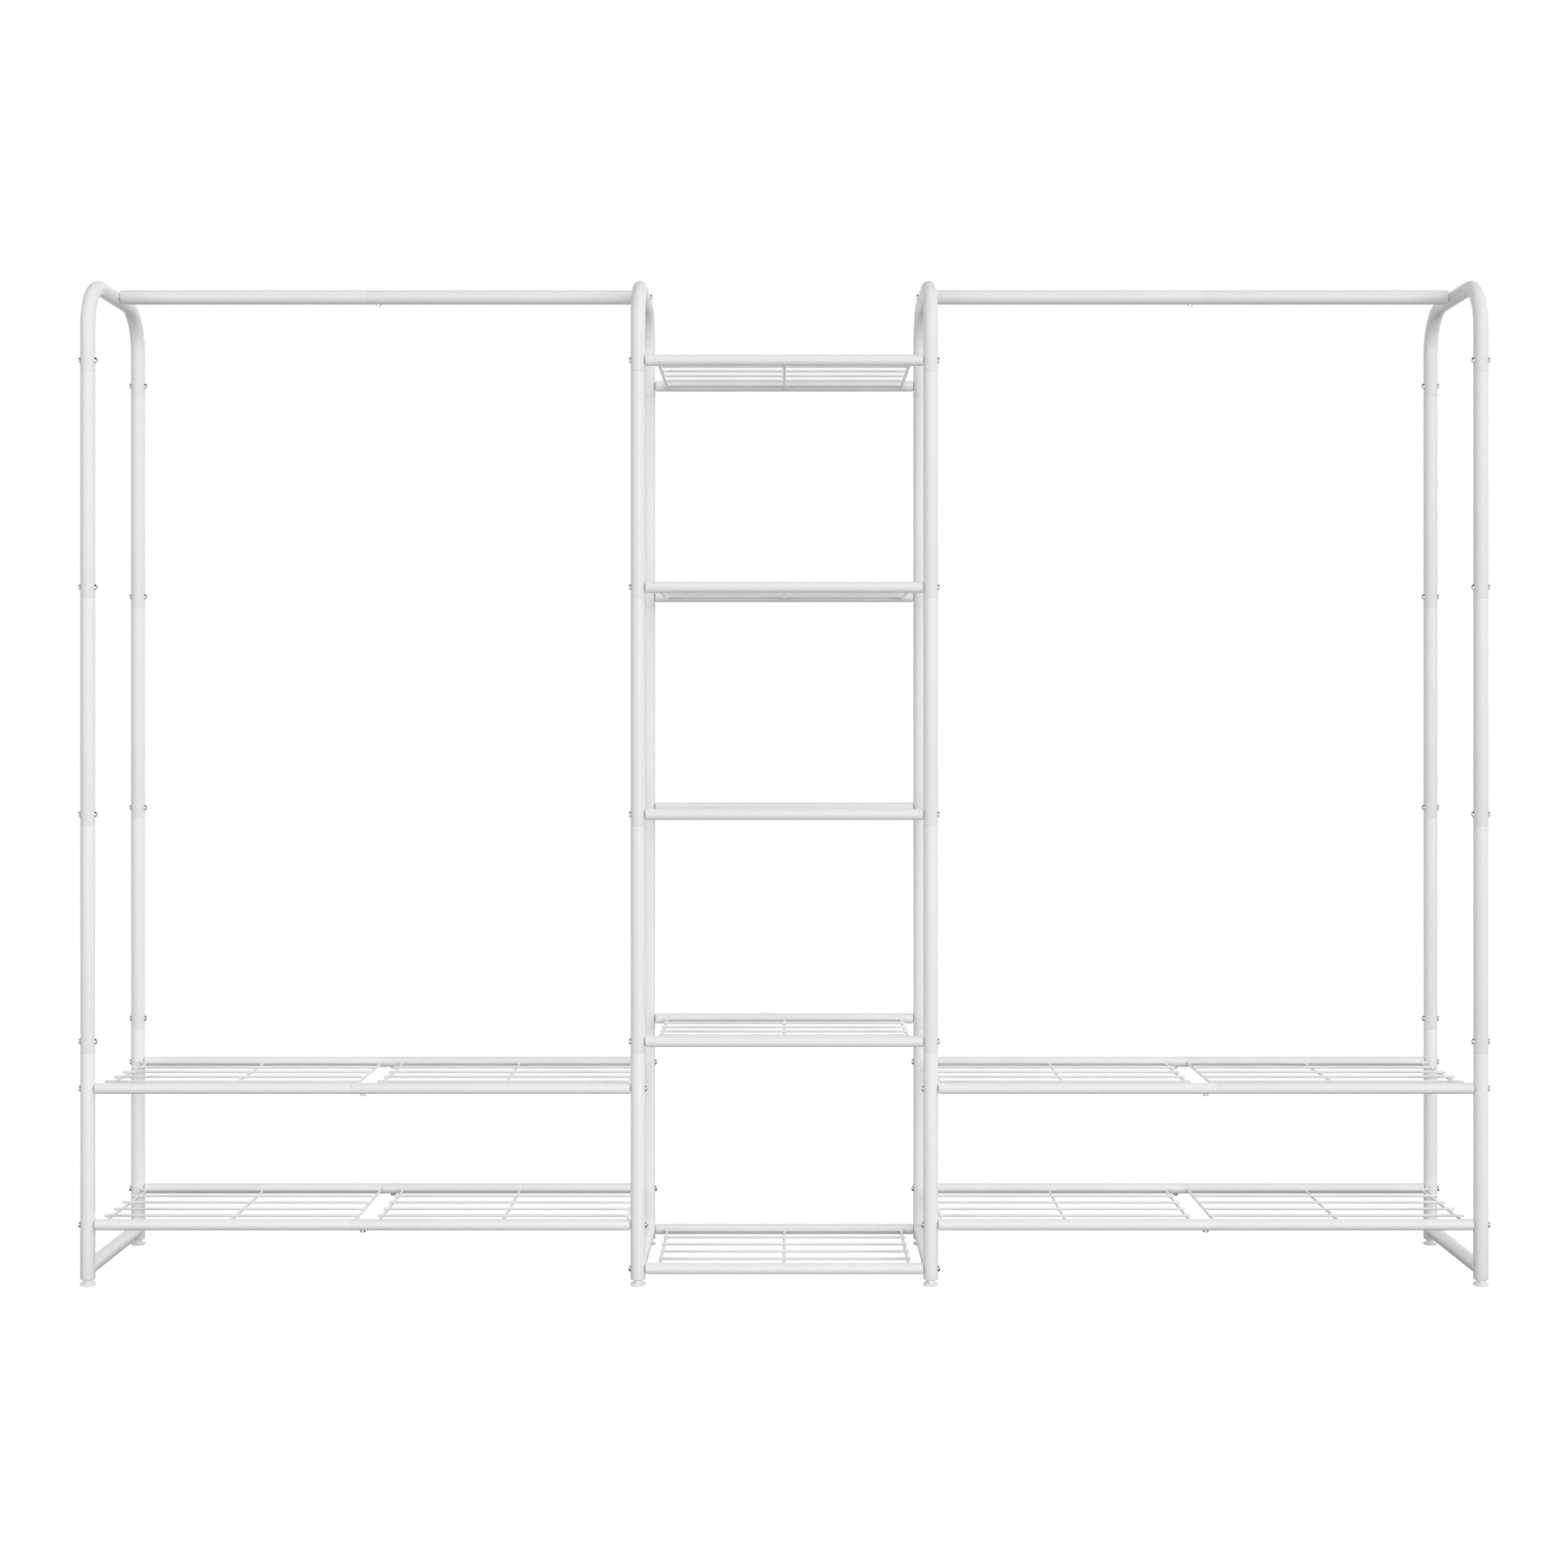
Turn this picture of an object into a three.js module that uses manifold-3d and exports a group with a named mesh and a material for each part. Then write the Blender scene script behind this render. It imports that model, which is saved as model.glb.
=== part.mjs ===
// Open frame wardrobe: four round-tube side frames, a five-shelf tower between two hanging bays,
// a hanging rod and two long wire shelves in each bay, all on levelling feet.
// Millimetres. The origin is on the floor under the middle: X runs along the width, Y to the back,
// Z up.
import * as THREE from "three";
import { mergeVertices } from "three/addons/utils/BufferGeometryUtils.js";
import Module from "manifold-3d";

const wasm = await Module();
wasm.setup();

// Driving dimensions: plan and heights
const bayWidth = 936; // outer upright axis to tower upright axis
const towerWidth = 498; // between the axes of the tower's uprights
const frameDepth = 325; // front upright axis to back upright axis
const lowestShelf = 28.5; // height of the bars of the tower's bottom shelf
const shelfPitch = 386.25; // from one tower shelf to the next
const crossbarRise = 135; // top tower shelf to the crossbar that carries the rods
const lowLongShelf = 103; // height of the bars of the lower long shelves
const highLongShelf = 335; // height of the bars of the upper long shelves
const bendRadius = 77; // at the axis of the hoops' tube

// Driving dimensions: tubes, bars and wires
const tubeDiameter = 25; // uprights, crossbars and rods
const tubeWall = 1;
const barDiameter = 19; // front and back bars of the shelves
const barWall = 0.9;
const wireDiameter = 5;
const crossWiresPerPanel = 3;
const longWireShares = [0.046, 0.228, 0.41, 0.59, 0.772, 0.954]; // of the depth, from the front bar back
const wireRise = 0.5; // long wires' axes over the bars' axes
const weldDepth = 1; // how far two wires sink into each other where they cross
const towerWireInset = 35; // outermost cross wire to the axis of the tower uprights
const towerWireOverrun = 1.5; // of the long wires past the edge of the outermost cross wire
const outerWireInset = 17; // outermost cross wire to the axis of the outer uprights
const outerWireOverhang = 9; // of the long wires past that cross wire's axis
const seamWireInset = 4; // innermost cross wire of the outer panel to its seam in mid-bay
const innerWireInset = 21.5; // innermost cross wire to the axis of the tower uprights
const innerWireOverhang = 5; // of the inner panel's long wires, at its end in mid-bay

// Driving dimensions: plug-in joints, their bolts and screws
const seamToBolt = 19; // the seam lies this far from its bolt
const spigotLength = 40;
const swageLength = 2; // over which the bore narrows behind a spigot
const plugLength = 12; // threaded plug in the end of a bar or a rod
const boltDiameter = 6;
const headDiameter = 10.5; // of the bolts and their nuts
const headHeight = 3.3;
const headCrownShare = 0.6; // of the head's diameter, left flat on top
const boltReach = 10; // of a shelf or rod bolt into the plug that it screws into
const screwReach = 8; // of a joint screw from the outside of the tube
const ventDiameter = 5; // under each bottom crossbar

// Driving dimensions: levelling feet
const legClearance = 11; // floor to the bottom end of the legs
const legPlugLength = 10;
const padDiameter = 26.5;
const padRim = 2.8;
const padHeight = 5;
const neckDiameter = 14;
const neckHeight = 7.5;
const stemDiameter = 8;
const stemHeight = 21.5;

// Driving dimensions: gaps, and the sides of each faceted round
const fitGap = 0.3; // between two pieces that touch
const boltGap = 0.35; // between a bolt and its hole
const tubeSides = 8;
const barSides = 8;
const wireSides = 6;
const headSides = 6;
const shankSides = 4;
const footSides = 8;
const bendSteps = 4;

// What follows from them
const tubeRadius = tubeDiameter / 2;
const barRadius = barDiameter / 2;
const wireRadius = wireDiameter / 2;
const outerX = towerWidth / 2 + bayWidth;
const towerX = towerWidth / 2;
const legY = frameDepth / 2;
const tubeNames = ["lower", "middle", "upper"];
const shelfHeights = Array.from({ length: tubeNames.length + 2 }, (_, i) => lowestShelf + i * shelfPitch);
const jointHeights = shelfHeights.slice(1);
const crossbarHeight = shelfHeights.at(-1) + crossbarRise;
const longShelfHeights = { lower: lowLongShelf, upper: highLongShelf };
const longPanelSpan = bayWidth / 2 - seamToBolt - outerWireInset - seamWireInset; // of its cross wires
const towerPanelSpan = towerWidth - 2 * towerWireInset;

const powderCoat = () => new THREE.MeshStandardMaterial({ color: 0xf1f1ef, roughness: 0.45, metalness: 0 });
const mouldedPlastic = () => new THREE.MeshStandardMaterial({ color: 0xf4f2ec, roughness: 0.5, metalness: 0 });

// The closed surface of a three.js geometry as a solid, turned so that its faces point outwards
function solid(geometry) {
  geometry.deleteAttribute("normal");
  geometry.deleteAttribute("uv");
  const merged = mergeVertices(geometry);
  const position = merged.attributes.position;
  const faces = [];
  for (let i = 0; i < merged.index.count; i += 3) {
    const face = [0, 1, 2].map((corner) => merged.index.getX(i + corner));
    if (new Set(face).size === face.length) faces.push(face);
  }
  const [a, b, c] = [new THREE.Vector3(), new THREE.Vector3(), new THREE.Vector3()];
  let volume = 0;
  for (const face of faces) {
    [a, b, c].forEach((point, corner) => point.fromBufferAttribute(position, face[corner]));
    volume += a.dot(b.cross(c));
  }
  if (volume < 0) faces.forEach((face) => face.reverse());
  return new wasm.Manifold(
    new wasm.Mesh({ numProp: 3, vertProperties: position.array, triVerts: Uint32Array.from(faces.flat()) }),
  );
}

function joined(first, ...others) {
  return others.reduce((sum, other) => sum.add(other), first);
}

function cut(body, ...tools) {
  return tools.reduce((rest, tool) => rest.subtract(tool), body);
}

function node(name, body, material) {
  const { vertProperties, triVerts } = body.getMesh();
  const geometry = new THREE.BufferGeometry();
  geometry.setAttribute("position", new THREE.BufferAttribute(Float32Array.from(vertProperties), 3));
  geometry.setIndex(new THREE.BufferAttribute(Uint32Array.from(triVerts), 1));
  geometry.computeVertexNormals();
  const mesh = new THREE.Mesh(geometry, material);
  mesh.name = name;
  return mesh;
}

// A profile of [radius, height] pairs turned about Z. Each radius is to the flats of the faceted
// round, which has a flat on either side along X.
function turned(profile, sides) {
  const toCorner = 1 / Math.cos(Math.PI / sides);
  const points = profile.map(([radius, height]) => new THREE.Vector2(radius * toCorner, height));
  const firstCorner = Math.PI / 2 - Math.PI / sides;
  return new THREE.LatheGeometry(points, sides, firstCorner, Math.PI * 2).rotateX(Math.PI / 2);
}

// The same, with its axis along X: heights run to +X, and a flat faces down
function turnedAlongX(profile, sides) {
  return turned(profile, sides).rotateY(Math.PI / 2);
}

function closedProfile(points) {
  return [...points, points[0]];
}

// The reduced end that a tube plugs into the next one with, from its shoulder outwards and back
function spigotProfile(radius, wall, shoulder) {
  const outside = radius - wall - fitGap;
  const inside = outside - wall;
  return [
    [outside, shoulder],
    [outside, shoulder + spigotLength],
    [inside, shoulder + spigotLength],
    [inside, shoulder - wall],
    [radius - wall, shoulder - wall - swageLength],
  ];
}

// A plain round along its axis, from one place to another
function plainProfile(radius, from, to) {
  return [
    [0, from],
    [radius, from],
    [radius, to],
    [0, to],
  ];
}

// The head of a bolt or screw on the outside of a tube, sunk by half a wall so that it joins the
// tube, and its shank to a tip that is counted from the tube's axis
function headProfile(radius, wall) {
  return [
    [0, -radius - headHeight],
    [(headDiameter / 2) * headCrownShare, -radius - headHeight],
    [headDiameter / 2, -radius + wall / 2],
    [0, -radius + wall / 2],
  ];
}

// A shank's corners lie on the round of the real one
const shankFlat = (boltDiameter / 2) * Math.cos(Math.PI / shankSides);

function shankProfile(radius, tip) {
  return plainProfile(shankFlat, -radius, tip);
}

// Bolts lie along X with their heads on the side of -X
function headOn(radius, wall) {
  return solid(turnedAlongX(headProfile(radius, wall), headSides));
}

function boltThrough(radius, wall, tip) {
  return joined(headOn(radius, wall), solid(turnedAlongX(shankProfile(radius, tip), shankSides)));
}

// The nut has the same low dome as the head of its bolt
function boltAndNut() {
  const nut = facingBack(headOn(tubeRadius, tubeWall));
  return joined(boltThrough(tubeRadius, tubeWall, tubeRadius), nut);
}

function boltIntoPlug() {
  return boltThrough(tubeRadius, tubeWall, tubeRadius + fitGap + boltReach);
}

// The hole that clears a bolt, along X from one place to another
function boltHole(from, to) {
  return solid(turnedAlongX(plainProfile(shankFlat + boltGap, from, to), shankSides));
}

function moved(body, x, y, z) {
  return body.translate([x, y, z]);
}

// Turned half round about Z
function facingBack(body) {
  return body.rotate([0, 0, 180]);
}

// One straight tube of an upright: an open socket below with its bolt, a spigot above
function uprightTube(joint, bolt) {
  const bottom = joint - seamToBolt + fitGap;
  const shoulder = joint - seamToBolt + shelfPitch;
  const tube = solid(
    turned(
      closedProfile([
        [tubeRadius - tubeWall, bottom],
        [tubeRadius, bottom],
        [tubeRadius, shoulder],
        ...spigotProfile(tubeRadius, tubeWall, shoulder),
      ]),
      tubeSides,
    ),
  );
  const hole = moved(boltHole(-tubeRadius, tubeRadius), 0, 0, joint + shelfPitch);
  return joined(cut(tube, hole), moved(bolt, 0, 0, joint));
}

// The axis of a hoop from its front leg over the crossbar to its back leg. Its parameter runs in
// equal steps: one for each straight run and bendSteps for each bend.
class HoopPath extends THREE.Curve {
  constructor(bottom) {
    super();
    const start = crossbarHeight - bendRadius;
    const bend = (share, side) => {
      const turn = (share * Math.PI) / 2;
      return {
        point: new THREE.Vector3(
          0,
          side * (legY - bendRadius * (1 - Math.cos(turn))),
          start + bendRadius * Math.sin(turn),
        ),
        tangent: new THREE.Vector3(0, -side * Math.sin(turn), Math.cos(turn)),
      };
    };
    const up = Array.from({ length: bendSteps + 1 }, (_, i) => bend(i / bendSteps, -1));
    const down = Array.from({ length: bendSteps + 1 }, (_, i) => bend(1 - i / bendSteps, 1));
    down.forEach(({ tangent }) => (tangent.z *= -1));
    down.forEach(({ tangent }) => (tangent.y *= -1));
    const foot = (side, way) => ({
      point: new THREE.Vector3(0, side * legY, bottom),
      tangent: new THREE.Vector3(0, 0, way),
    });
    this.stations = [foot(-1, 1), ...up, ...down, foot(1, -1)];
  }

  get steps() {
    return this.stations.length - 1;
  }

  getPointAt(share) {
    return this.stations[Math.round(share * this.steps)].point.clone();
  }

  computeFrenetFrames() {
    const acrossX = new THREE.Vector3(1, 0, 0);
    const tangents = this.stations.map(({ tangent }) => tangent);
    return {
      tangents,
      normals: tangents.map((tangent) => acrossX.clone().cross(tangent)),
      binormals: tangents.map(() => acrossX.clone()),
    };
  }
}

function polygon(radius, sides) {
  const corner = radius / Math.cos(Math.PI / sides);
  return Array.from({ length: sides }, (_, i) => {
    const turn = ((2 * i + 1) * Math.PI) / sides;
    return new THREE.Vector2(corner * Math.cos(turn), corner * Math.sin(turn));
  });
}

function hoop(jointBolt, rodBolt) {
  const section = new THREE.Shape(polygon(tubeRadius, tubeSides));
  section.holes.push(new THREE.Path(polygon(tubeRadius - tubeWall, tubeSides)));
  const path = new HoopPath(jointHeights.at(-1) - seamToBolt + fitGap);
  const tube = solid(new THREE.ExtrudeGeometry(section, { steps: path.steps, extrudePath: path }));
  return joined(
    tube,
    moved(jointBolt, 0, -legY, jointHeights.at(-1)),
    moved(jointBolt, 0, legY, jointHeights.at(-1)),
    moved(rodBolt, 0, 0, crossbarHeight),
  );
}

// The bottom of a side frame: two legs with a threaded plug in each end, and the crossbar welded
// between them. A vent under the crossbar opens it, as the two welds close its ends.
function base(bolts) {
  const shoulder = jointHeights[0] - seamToBolt;
  const stemBore = stemDiameter / 2 + boltGap;
  const leg = solid(
    turned(
      closedProfile([
        [stemBore, legClearance],
        [tubeRadius, legClearance],
        [tubeRadius, shoulder],
        ...spigotProfile(tubeRadius, tubeWall, shoulder),
        [tubeRadius - tubeWall, legClearance + legPlugLength],
        [stemBore, legClearance + legPlugLength],
      ]),
      tubeSides,
    ),
  );
  const hole = moved(boltHole(-tubeRadius, tubeRadius), 0, 0, jointHeights[0]);
  const legs = [-legY, legY].map((y) => moved(cut(leg, hole), 0, y, 0));

  const crossbar = solid(
    turned(
      closedProfile([
        [tubeRadius - tubeWall, -legY],
        [tubeRadius, -legY],
        [tubeRadius, legY],
        [tubeRadius - tubeWall, legY],
      ]),
      tubeSides,
    ).rotateX(Math.PI / 2),
  );
  const cope = solid(turned(plainProfile(tubeRadius - tubeWall / 2, -tubeRadius, tubeRadius), tubeSides));
  const vent = solid(turned(plainProfile(ventDiameter / 2, -tubeRadius, 0), shankSides));
  const coped = cut(crossbar, moved(cope, 0, -legY, 0), moved(cope, 0, legY, 0), vent);
  return joined(
    ...legs,
    moved(coped, 0, 0, lowestShelf),
    ...bolts.flatMap(({ bolt, height }) => [-legY, legY].map((y) => moved(bolt, 0, y, height))),
  );
}

// A bar or rod along X from 0, with a threaded plug in its near end. Its far end has a plug too,
// or is a spigot, or the socket that takes one.
function rail(radius, wall, length, farEnd) {
  const bore = boltDiameter / 2 + boltGap;
  const near = [
    [radius - wall, plugLength],
    [bore, plugLength],
    [bore, 0],
    [radius, 0],
    [radius, length],
  ];
  const far = {
    plug: [
      [bore, length],
      [bore, length - plugLength],
      [radius - wall, length - plugLength],
    ],
    spigot: spigotProfile(radius, wall, length),
    socket: [[radius - wall, length]],
  };
  return solid(turnedAlongX(closedProfile([...near, ...far[farEnd]]), radius === barRadius ? barSides : tubeSides));
}

// The screw that locks a joint in mid-bay from below
function jointScrew(radius, wall) {
  const head = solid(turned(headProfile(radius, wall), headSides));
  return joined(head, solid(turned(shankProfile(radius, -radius + screwReach), shankSides)));
}

function jointScrewHole(radius) {
  return solid(turned(plainProfile(shankFlat + boltGap, -radius, 0), shankSides));
}

// The two halves of a rail across a bay, in the bay's own X: the outer half from the outer frame
// with its spigot in mid-bay, and the inner half from the tower frame with the socket and screw
const railStart = tubeRadius + fitGap;

function outerHalf(radius, wall) {
  const length = bayWidth / 2 - seamToBolt - railStart;
  const hole = moved(jointScrewHole(radius), length + seamToBolt, 0, 0);
  return moved(cut(rail(radius, wall, length, "spigot"), hole), -outerX + railStart, 0, 0);
}

function innerHalf(radius, wall) {
  const length = bayWidth / 2 + seamToBolt - railStart - fitGap;
  const screw = moved(jointScrew(radius, wall), length + fitGap - seamToBolt, 0, 0);
  return moved(facingBack(joined(rail(radius, wall, length, "socket"), screw)), -towerX - railStart, 0, 0);
}

// Cross wires run from bar to bar, and the long wires lie on them. Each wire has an edge above and
// below, and the edges sink into each other where wires cross.
const barBite = barWall / 2; // how far a cross wire's end goes into a bar's wall
const middleShare = 0.5; // of the depth

function wires(places, longFrom, longTo) {
  const crossLength = frameDepth - 2 * (barRadius - barBite);
  const crossDrop = 2 * wireRadius - weldDepth - wireRise;
  const cross = places.map((x) =>
    solid(
      new THREE.CylinderGeometry(wireRadius, wireRadius, crossLength, wireSides).translate(x, 0, -crossDrop),
    ),
  );
  const long = longWireShares.map((share) =>
    solid(
      new THREE.CylinderGeometry(wireRadius, wireRadius, longTo - longFrom, wireSides)
        .rotateZ(Math.PI / 2)
        .translate((longFrom + longTo) / 2, (share - middleShare) * frameDepth, wireRise),
    ),
  );
  return [...cross, ...long];
}

function crossPlaces(first, span) {
  const spacing = span / (crossWiresPerPanel - 1);
  return Array.from({ length: crossWiresPerPanel }, (_, i) => first + i * spacing);
}

function longShelfOuterHalf() {
  const places = crossPlaces(-outerX + outerWireInset, longPanelSpan);
  const bar = outerHalf(barRadius, barWall);
  return joined(
    moved(bar, 0, -legY, 0),
    moved(bar, 0, legY, 0),
    ...wires(places, places[0] - outerWireOverhang, places.at(-1) + wireRadius),
  );
}

function longShelfInnerHalf() {
  const places = crossPlaces(-towerX - innerWireInset - longPanelSpan, longPanelSpan);
  const bar = innerHalf(barRadius, barWall);
  return joined(
    moved(bar, 0, -legY, 0),
    moved(bar, 0, legY, 0),
    ...wires(places, places[0] - innerWireOverhang, places.at(-1) + wireRadius),
  );
}

function towerShelf() {
  const places = crossPlaces(-towerPanelSpan / 2, towerPanelSpan);
  const bar = moved(rail(barRadius, barWall, towerWidth - 2 * railStart, "plug"), -towerX + railStart, 0, 0);
  const overrun = wireRadius + towerWireOverrun;
  return joined(
    moved(bar, 0, -legY, 0),
    moved(bar, 0, legY, 0),
    ...wires(places, places[0] - overrun, places.at(-1) + overrun),
  );
}

// A levelling foot: moulded pad and neck on a threaded stem that screws into the leg's plug
function foot() {
  return solid(
    turned(
      [
        [0, 0],
        [padDiameter / 2, 0],
        [padDiameter / 2, padRim],
        [neckDiameter / 2, padHeight],
        [neckDiameter / 2, neckHeight],
        [stemDiameter / 2, neckHeight],
        [stemDiameter / 2, stemHeight],
        [0, stemHeight],
      ],
      footSides,
    ),
  );
}

function sideFrame(name, legNames, jointBolt, rodBolt, baseBolts) {
  const group = new THREE.Group();
  group.add(node(`${name}_hoop`, hoop(jointBolt, rodBolt), powderCoat()));
  group.add(node(`${name}_base`, base(baseBolts), powderCoat()));
  for (const [i, y] of [-legY, legY].entries()) {
    tubeNames.forEach((tubeName, level) => {
      const tube = uprightTube(jointHeights[level], jointBolt);
      const mesh = node(`${name}_${legNames[i]}_${tubeName}_tube`, tube, powderCoat());
      mesh.position.y = y;
      group.add(mesh);
    });
    const levellingFoot = node(`${name}_${legNames[i]}_foot`, foot(), mouldedPlastic());
    levellingFoot.position.y = y;
    group.add(levellingFoot);
  }
  return group;
}

// A bay with the frames on both sides of it, made for the left. Half a turn about Z makes the right
// one, where the local front leg is the back one.
function bay(side) {
  const group = new THREE.Group();
  const legNames = side === "left" ? ["front", "back"] : ["back", "front"];
  const longShelfBolts = (bolt) => Object.values(longShelfHeights).map((height) => ({ bolt, height }));

  const outward = boltIntoPlug();
  const inward = facingBack(boltIntoPlug());
  const outerFrame = sideFrame(`${side}_outer`, legNames, boltAndNut(), outward, longShelfBolts(outward));
  outerFrame.position.x = -outerX;
  const towerFrame = sideFrame(`${side}_tower`, legNames, outward, inward, [
    ...longShelfBolts(inward),
    { bolt: outward, height: lowestShelf },
  ]);
  towerFrame.position.x = -towerX;
  group.add(outerFrame, towerFrame);

  const rodHalves = { outer: outerHalf(tubeRadius, tubeWall), inner: innerHalf(tubeRadius, tubeWall) };
  for (const [half, body] of Object.entries(rodHalves)) {
    const mesh = node(`${side}_rod_${half}_half`, body, powderCoat());
    mesh.position.z = crossbarHeight;
    group.add(mesh);
  }

  const shelfHalves = { outer: longShelfOuterHalf(), inner: longShelfInnerHalf() };
  for (const [level, height] of Object.entries(longShelfHeights)) {
    for (const [half, body] of Object.entries(shelfHalves)) {
      const mesh = node(`${side}_${level}_shelf_${half}_half`, body, powderCoat());
      mesh.position.z = height;
      group.add(mesh);
    }
  }
  group.rotation.z = side === "left" ? 0 : Math.PI;
  return group;
}

const wardrobe = new THREE.Group();
wardrobe.add(bay("left"), bay("right"));
shelfHeights.forEach((height, i) => {
  const mesh = node(`tower_shelf_${i + 1}`, towerShelf(), powderCoat());
  mesh.position.z = height;
  wardrobe.add(mesh);
});

export default wardrobe;
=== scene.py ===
# Open frame wardrobe: four side frames of white tube, a tower of five wire shelves between two
# hanging bays, and a rod and two long wire shelves in each bay. The file follows the wardrobe as
# it is put together, from the bases up. Sizes are in millimetres until a mesh is made.
import math

import bmesh
import bpy
from mathutils import Matrix, Vector


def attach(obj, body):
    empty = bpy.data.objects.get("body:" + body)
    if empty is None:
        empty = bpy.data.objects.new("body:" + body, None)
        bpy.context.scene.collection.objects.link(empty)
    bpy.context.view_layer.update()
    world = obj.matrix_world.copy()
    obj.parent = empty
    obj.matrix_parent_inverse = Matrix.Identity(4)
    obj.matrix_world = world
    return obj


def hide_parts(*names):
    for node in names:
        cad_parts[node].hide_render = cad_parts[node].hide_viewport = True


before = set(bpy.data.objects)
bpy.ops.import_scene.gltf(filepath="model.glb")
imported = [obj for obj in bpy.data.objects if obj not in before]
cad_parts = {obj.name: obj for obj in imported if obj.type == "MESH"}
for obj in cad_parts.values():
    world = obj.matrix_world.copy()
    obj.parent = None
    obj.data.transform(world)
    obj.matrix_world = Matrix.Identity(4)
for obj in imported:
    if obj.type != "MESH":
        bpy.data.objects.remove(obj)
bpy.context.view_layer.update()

MM = 0.001


# Camera
# A level camera in front of the middle, somewhat above half height, with the long lens that gives
# the photograph's depth. Its shift puts the wardrobe where it stands in the picture.
camera_lens = 56.3
camera_shift = (-0.0002, -0.0404)
camera_place = (0, -4334.5, 960.5)
camera_tilt = 90  # from straight down, so it looks level

camera_settings = bpy.data.cameras.new("camera")
camera_settings.lens = camera_lens
camera_settings.shift_x, camera_settings.shift_y = camera_shift
camera = bpy.data.objects.new("camera", camera_settings)
camera.location = Vector(camera_place) * MM
camera.rotation_euler = (math.radians(camera_tilt), 0, 0)
bpy.context.scene.collection.objects.link(camera)
bpy.context.scene.camera = camera
bpy.context.scene.view_settings.view_transform = "Standard"


# Bases
# Each side frame stands on two legs of steel tube with a crossbar coped and welded between them.
# The legs' tops are drawn in to plug into the tubes above, and the welds are painted over.
outer_x = 1185
tower_x = 249
frame_places = {
    "left_outer": -outer_x,
    "left_tower": -tower_x,
    "right_tower": tower_x,
    "right_outer": outer_x,
}
depth_half = 162.5
leg_places = {"front": -depth_half, "back": depth_half}
tower_shelves = 5
lowest_shelf = 28.5
shelf_pitch = 386.25
tower_shelf_heights = [lowest_shelf + i * shelf_pitch for i in range(tower_shelves)]
long_shelf_heights = {"lower": 103, "upper": 335}
joint_heights = tower_shelf_heights[1:]
tube_radius = 12.5
tube_wall = 1
tube_sides = 48
seam_drop = 19  # from a joint's bolt or screw to its seam
spigot_length = 40
spigot_clearance = 0.3
swage_length = 2
shoulder_rim = 0.3
cut_rim = 0.15
leg_bottom = 9.8
leg_rim = 2.2
bolt_hole_radius = 3.35
vent_radius = 2.5
weld_radius = 1.3
weld_stand_off = 0.2
weld_ripples = 30
weld_ripple_share = 0.12
quarter = math.pi / 2


def linear(colour):
    """The linear value of an sRGB hex colour."""
    channels = [int(colour[start : start + 2], 16) / 255 for start in (1, 3, 5)]
    return [c / 12.92 if c <= 0.04045 else ((c + 0.055) / 1.055) ** 2.4 for c in channels] + [1]


def add_node(tree, kind, inputs=(), **settings):
    """A node with its settings, and each input given its value or linked to another's output."""
    node = tree.nodes.new(kind)
    for name, value in settings.items():
        setattr(node, name, value)
    sockets = [socket for socket in node.inputs if socket.enabled]
    names = [socket.name for socket in sockets]
    for key, value in dict(inputs).items():
        socket = sockets[names.index(key) if key in names else key]
        if isinstance(value, bpy.types.NodeSocket):
            tree.links.new(value, socket)
        else:
            socket.default_value = value
    return node


def new_material(name):
    """A material without nodes yet, and its node tree."""
    material = bpy.data.materials.new(name)
    material.use_nodes = True
    material.node_tree.nodes.clear()
    return material, material.node_tree


# Polyester powder coat, sprayed and baked on steel: an even satin white. It flows out to a faint
# orange peel about 2 mm wide, and its tone and gloss drift a little over a hand's width.
coat_white = "#F0F0F0"
coat_shade = "#EEEEEE"
coat_roughness = (0.38, 0.44)
coat_ior = 1.5
peel_width = 2.2
peel_height = 0.007
drift_width = 90

powder_coat, tree = new_material("white_powder_coat")
place = add_node(tree, "ShaderNodeTexCoord").outputs["Object"]
drift = add_node(
    tree, "ShaderNodeTexNoise", {"Vector": place, "Scale": 1 / (drift_width * MM), "Detail": 2}
).outputs["Fac"]
tone = add_node(
    tree,
    "ShaderNodeMix",
    {"Factor": drift, "A": linear(coat_white), "B": linear(coat_shade)},
    data_type="RGBA",
)
gloss = add_node(
    tree,
    "ShaderNodeMapRange",
    {"Value": drift, "To Min": coat_roughness[0], "To Max": coat_roughness[1]},
)
peel = add_node(
    tree, "ShaderNodeTexNoise", {"Vector": place, "Scale": 1 / (peel_width * MM), "Detail": 1}
).outputs["Fac"]
relief = add_node(
    tree, "ShaderNodeBump", {"Distance": peel_height * MM, "Height": peel}
).outputs["Normal"]
coat = add_node(
    tree,
    "ShaderNodeBsdfPrincipled",
    {
        "Base Color": next(socket for socket in tone.outputs if socket.enabled),
        "Roughness": gloss.outputs["Result"],
        "Normal": relief,
        "IOR": coat_ior,
    },
)
add_node(tree, "ShaderNodeOutputMaterial", {"Surface": coat.outputs["BSDF"]})


def arc(radius, height, size, start, end, steps=4):
    """Points of a profile along an arc about (radius, height), from one angle to another."""
    angles = [start + (end - start) * i / steps for i in range(steps + 1)]
    return [(radius + size * math.cos(a), height + size * math.sin(a)) for a in angles]


towards_x = Matrix.Rotation(quarter, 4, "Y")
towards_y = Matrix.Rotation(-quarter, 4, "X")


def mesh_of(skin, name):
    """The mesh of a finished skin."""
    mesh = bpy.data.meshes.new(name)
    skin.to_mesh(mesh)
    skin.free()
    return mesh


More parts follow.
